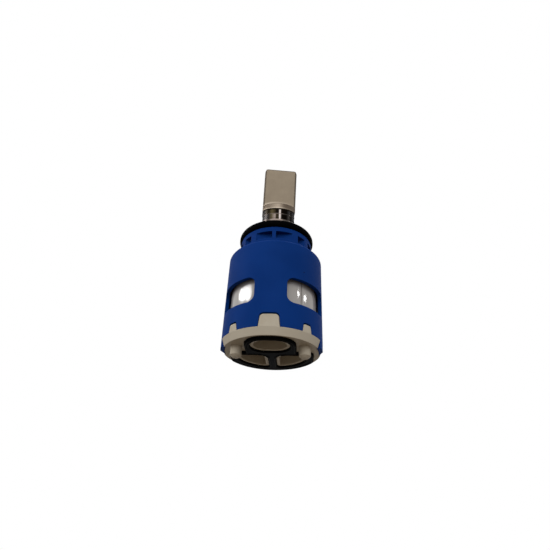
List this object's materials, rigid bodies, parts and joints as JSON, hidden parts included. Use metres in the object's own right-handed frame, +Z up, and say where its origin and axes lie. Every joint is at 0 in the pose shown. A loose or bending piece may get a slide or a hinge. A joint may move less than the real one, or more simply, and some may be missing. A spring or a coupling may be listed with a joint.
{
  "type": "mixer tap cartridge",
  "caption": "Single-lever ceramic disc mixer cartridge: blue moulded body, ivory ported base with a black seal, flat metal lever that lifts for flow and turns for temperature.",
  "frame": {"origin": "on the body's axis, in the plane of the base flange's underside, which seats on the floor of the tap body", "axes": "+Z up the axis to the lever, -Y to the outlet port (the front), +X to the cold inlet"},
  "size_m": [0.04, 0.04, 0.0907],
  "materials": {
    "blue_plastic": "fine moulded matte, blue",
    "ivory_plastic": "moulded matte, ivory to beige",
    "black_rubber": "soft black rubber with a faint sheen",
    "white_plastic": "glossy white moulding",
    "disc_ceramic": "lapped alumina",
    "satin_nickel": "satin nickel tang, polished neck",
    "pin_steel": "ground steel",
    "grey_plastic": "smooth low-friction plastic"
  },
  "bodies": {
    "body": {"housing": "blue_plastic", "base": "ivory_plastic", "base_seal": "black_rubber", "collar_ring": "black_rubber", "fixed_disc": "disc_ceramic", "outlet_seal": "black_rubber", "hot_inlet_seal": "black_rubber", "cold_inlet_seal": "black_rubber", "thrust_ring": "grey_plastic"},
    "rotor": {"rotor": "white_plastic", "rotor_o_ring": "black_rubber", "stop_ring": "grey_plastic", "pivot_pin": "pin_steel"},
    "lever": {"lever": "satin_nickel", "lever_shoe": "white_plastic"},
    "disc_slide": {"disc_carrier": "white_plastic", "moving_disc": "disc_ceramic", "mixing_seal": "black_rubber", "silencer_insert": "grey_plastic"}
  },
  "joints": [
    {"name": "temperature_turn", "type": "hinge", "parent": "body", "child": "rotor", "pos_m": [0, 0, 0], "axis": [0, 0, 1], "range_deg": [-57.5, 42.5]},
    {"name": "flow_lift", "type": "hinge", "parent": "rotor", "child": "lever", "pos_m": [0, 0, 0.04], "axis": [-0.9914, -0.1305, 0], "range_deg": [0, 25]},
    {"name": "disc_travel", "type": "slide", "parent": "rotor", "child": "disc_slide", "axis": [0.1305, -0.9914, 0], "range_m": [0, 0.00693]}
  ],
  "couplings": [
    {"joint": "disc_travel", "follows": "flow_lift", "m_per_rad": 0.015873}
  ]
}
